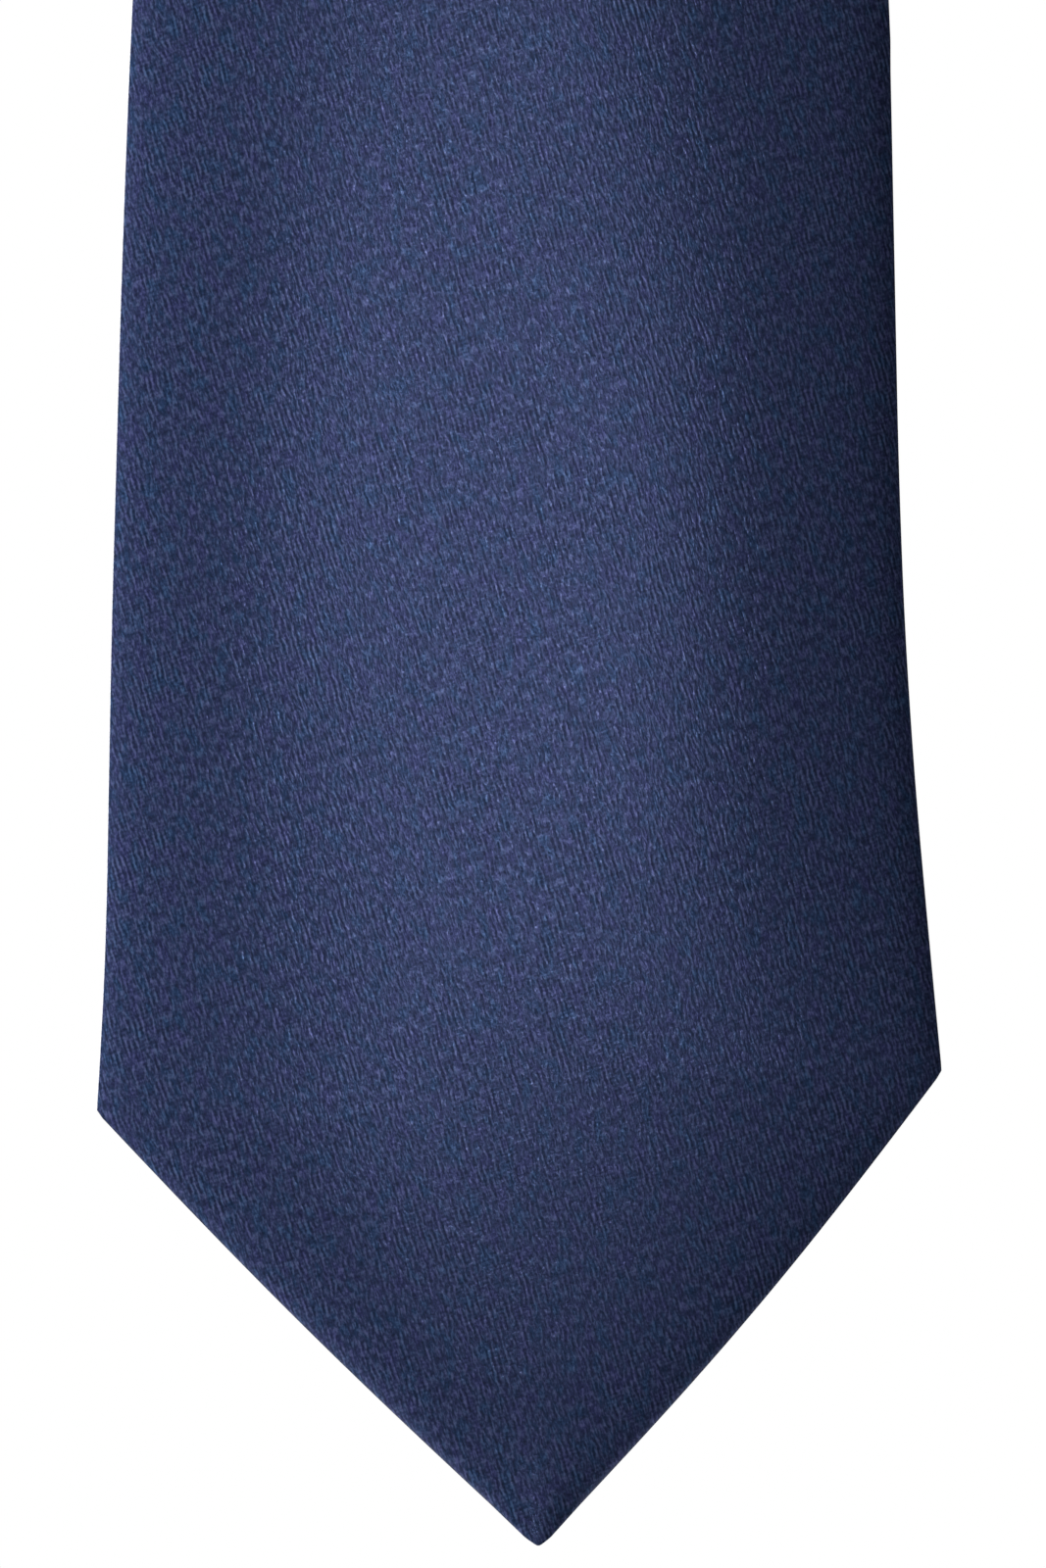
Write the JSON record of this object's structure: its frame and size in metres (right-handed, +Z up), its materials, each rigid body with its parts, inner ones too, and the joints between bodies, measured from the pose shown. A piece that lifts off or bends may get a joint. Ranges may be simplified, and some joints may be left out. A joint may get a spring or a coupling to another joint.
{
  "type": "necktie",
  "caption": "Untied lined necktie hung over a rail at the neck: wide pointed satin blade in front, narrow tail behind, keeper loop and blank labels on the back.",
  "frame": {"origin": "on the axis of the rail that the tie hangs over, at the middle of the neck's width", "axes": "+Z up, +X to the right as the wide blade's face is seen, -Y the way that face looks; the tail hangs on the +Y side"},
  "size_m": [0.085, 0.0314, 0.8957],
  "materials": {
    "silk_satin": "navy satin woven in five-end satin, cut on the bias, broad soft sheen",
    "tipping_lining": "thin dark navy lining twill, semi-matt",
    "wool_interlining": "brushed wool blend canvas, undyed, matt",
    "sewing_thread": "spun thread dyed to match the satin",
    "label_weave": "blank taffeta label, fine even weave",
    "care_ribbon": "blank white satin ribbon"
  },
  "bodies": {
    "neck": {"front_shell_upper": "silk_satin", "neck_gusset_fold": "silk_satin", "interlining_front_upper": "wool_interlining", "interlining_neck": "wool_interlining", "slip_stitch_front_upper": "sewing_thread", "gusset_seam_front": "sewing_thread"},
    "front_blade": {"front_shell_lower": "silk_satin", "interlining_front_lower": "wool_interlining", "tipping_front": "tipping_lining", "tipping_seam_front": "sewing_thread", "slip_stitch_front_lower": "sewing_thread", "bar_tack_front": "sewing_thread", "keeper_tack_left": "sewing_thread", "keeper_tack_right": "sewing_thread", "maker_label": "label_weave", "maker_label_stitches": "sewing_thread", "care_label_stitches": "sewing_thread"},
    "keeper": {"keeper_loop": "silk_satin"},
    "care_label": {"care_label": "care_ribbon"},
    "tail_leg": {"neck_gusset_tail_leg": "silk_satin", "tail_shell_upper": "silk_satin", "interlining_tail_upper": "wool_interlining", "slip_stitch_tail_upper": "sewing_thread", "gusset_seam_tail": "sewing_thread"},
    "tail_end": {"tail_shell_lower": "silk_satin", "interlining_tail_lower": "wool_interlining", "tipping_tail": "tipping_lining", "tipping_seam_tail": "sewing_thread", "slip_stitch_tail_lower": "sewing_thread", "bar_tack_tail": "sewing_thread"}
  },
  "joints": [
    {"name": "front_lift", "type": "hinge", "parent": "neck", "child": "front_blade", "pos_m": [0, -0.0162, -0.44], "axis": [-1, 0, 0], "range_deg": [0, 150]},
    {"name": "keeper_flex", "type": "hinge", "parent": "front_blade", "child": "keeper", "pos_m": [0, -0.0121, -0.66], "axis": [1, 0, 0], "range_deg": [-15, 15]},
    {"name": "care_label_flip", "type": "hinge", "parent": "front_blade", "child": "care_label", "pos_m": [0, -0.0121, -0.61], "axis": [1, 0, 0], "range_deg": [0, 150]},
    {"name": "tail_swing", "type": "hinge", "parent": "neck", "child": "tail_leg", "pos_m": [0, 0.0162, -0.02], "axis": [1, 0, 0], "range_deg": [-2.4, 120]},
    {"name": "tail_lift", "type": "hinge", "parent": "tail_leg", "child": "tail_end", "pos_m": [0, 0.0162, -0.25539], "axis": [1, 0, 0], "range_deg": [0, 150]}
  ]
}
